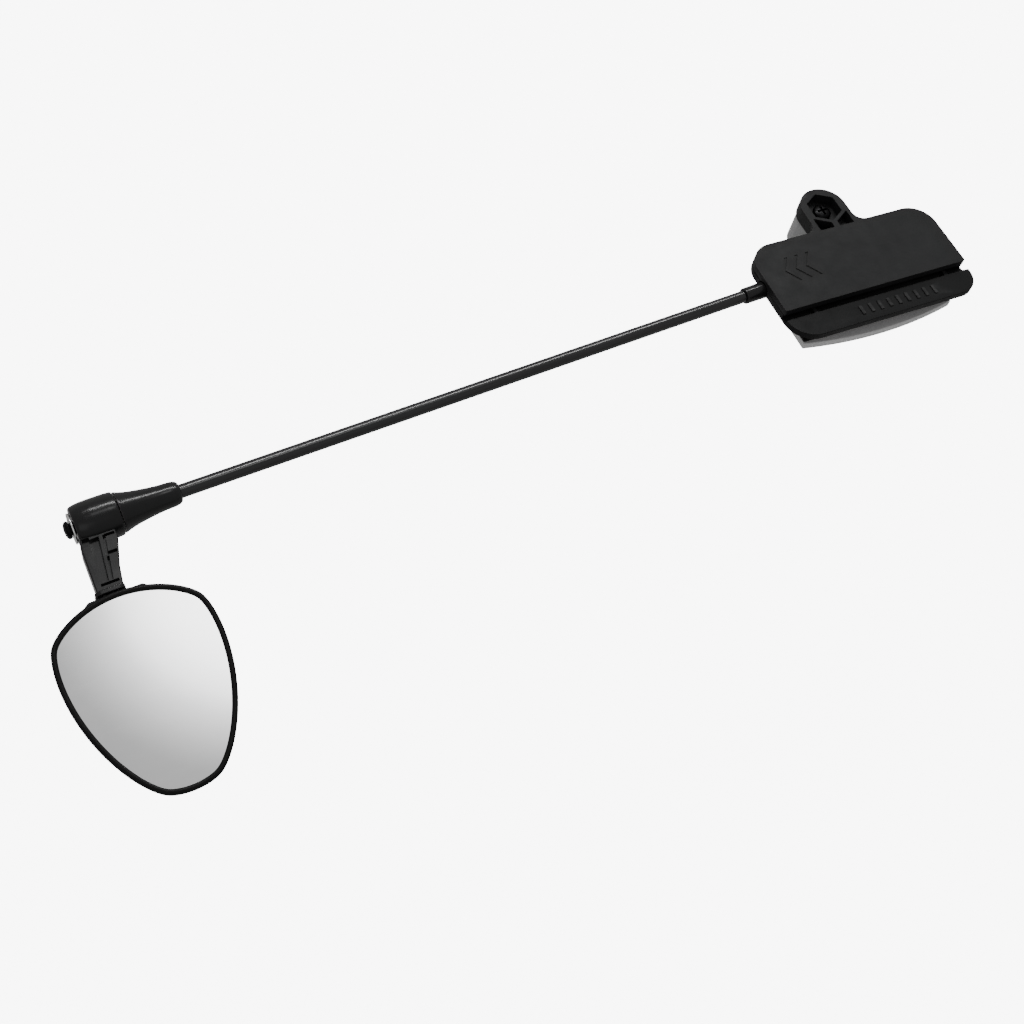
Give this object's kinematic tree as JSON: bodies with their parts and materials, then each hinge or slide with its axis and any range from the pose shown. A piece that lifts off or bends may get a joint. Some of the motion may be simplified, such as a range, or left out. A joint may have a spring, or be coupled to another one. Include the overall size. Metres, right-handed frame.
{
  "type": "helmet mirror",
  "caption": "Oval rear-view mirror on a swinging arm and a long straight stem, with a sprung clip for the edge of a helmet or visor.",
  "frame": {"origin": "middle of the flat inner face of the clip's base plate, against which the gripped edge lies", "axes": "+X along the stem from the mirror towards the clip, +Z out of the clip's front, +Y towards the clip's boss; the clip is turned 3.6 degrees clockwise about Z from the stem"},
  "size_m": [0.2807, 0.0938, 0.0229],
  "materials": {
    "cover_plastic": "fine grain, satin black",
    "base_plastic": "satin black",
    "grey_plastic": "satin light grey",
    "pad_rubber": "matt ribbed",
    "stem_gloss": "gloss black",
    "arm_plastic": "satin black",
    "frame_plastic": "semi-gloss black",
    "mirror": "silvered",
    "foam": "adhesive foam",
    "steel": "zinc plated",
    "black_steel": "black oxide",
    "nylon": "natural nylon"
  },
  "bodies": {
    "clip": {"clip_cover": "cover_plastic", "clip_base": "base_plastic", "clip_post": "grey_plastic", "post_screw": "black_steel", "jaw_pin": "steel", "jaw_spring": "steel", "stem_collar": "arm_plastic"},
    "jaw": {"rear_jaw": "grey_plastic", "jaw_pad": "pad_rubber"},
    "stem": {"stem_core": "steel", "stem_sheath": "stem_gloss", "stem_retainer": "steel", "stem_sleeve": "arm_plastic", "hinge_nut": "steel", "hinge_screw": "black_steel", "hinge_washer": "steel", "wave_washer": "steel", "friction_ring": "nylon"},
    "arm": {"head_arm": "arm_plastic", "pivot_stud": "steel", "pivot_clip": "steel"},
    "mirror": {"mirror_shell": "arm_plastic", "pivot_bush": "nylon", "mirror_frame": "frame_plastic", "mirror_glass": "mirror", "glass_foam": "foam", "glass_carrier": "arm_plastic"}
  },
  "joints": [
    {"name": "clip_open", "type": "hinge", "parent": "clip", "child": "jaw", "pos_m": [0.00109, 0.01737, -0.0062], "axis": [0.998, -0.0628, 0], "range_deg": [0, 14], "stiffness_Nm_per_rad": 0.2, "springref_deg": -28.65},
    {"name": "stem_turn", "type": "hinge", "parent": "clip", "child": "stem", "pos_m": [-0.0303, 0.0044, 0.0005], "axis": [1, 0, 0], "range_deg": [-90, 90]},
    {"name": "arm_swing", "type": "hinge", "parent": "stem", "child": "arm", "pos_m": [-0.2298, 0.0044, 0.0005], "axis": [1, 0, 0], "range_deg": [-110, 110]},
    {"name": "mirror_pan", "type": "hinge", "parent": "arm", "child": "mirror", "pos_m": [-0.2298, -0.01406, -0.00404], "axis": [0, 0.9781, 0.2079], "range_deg": [-60, 60]}
  ]
}
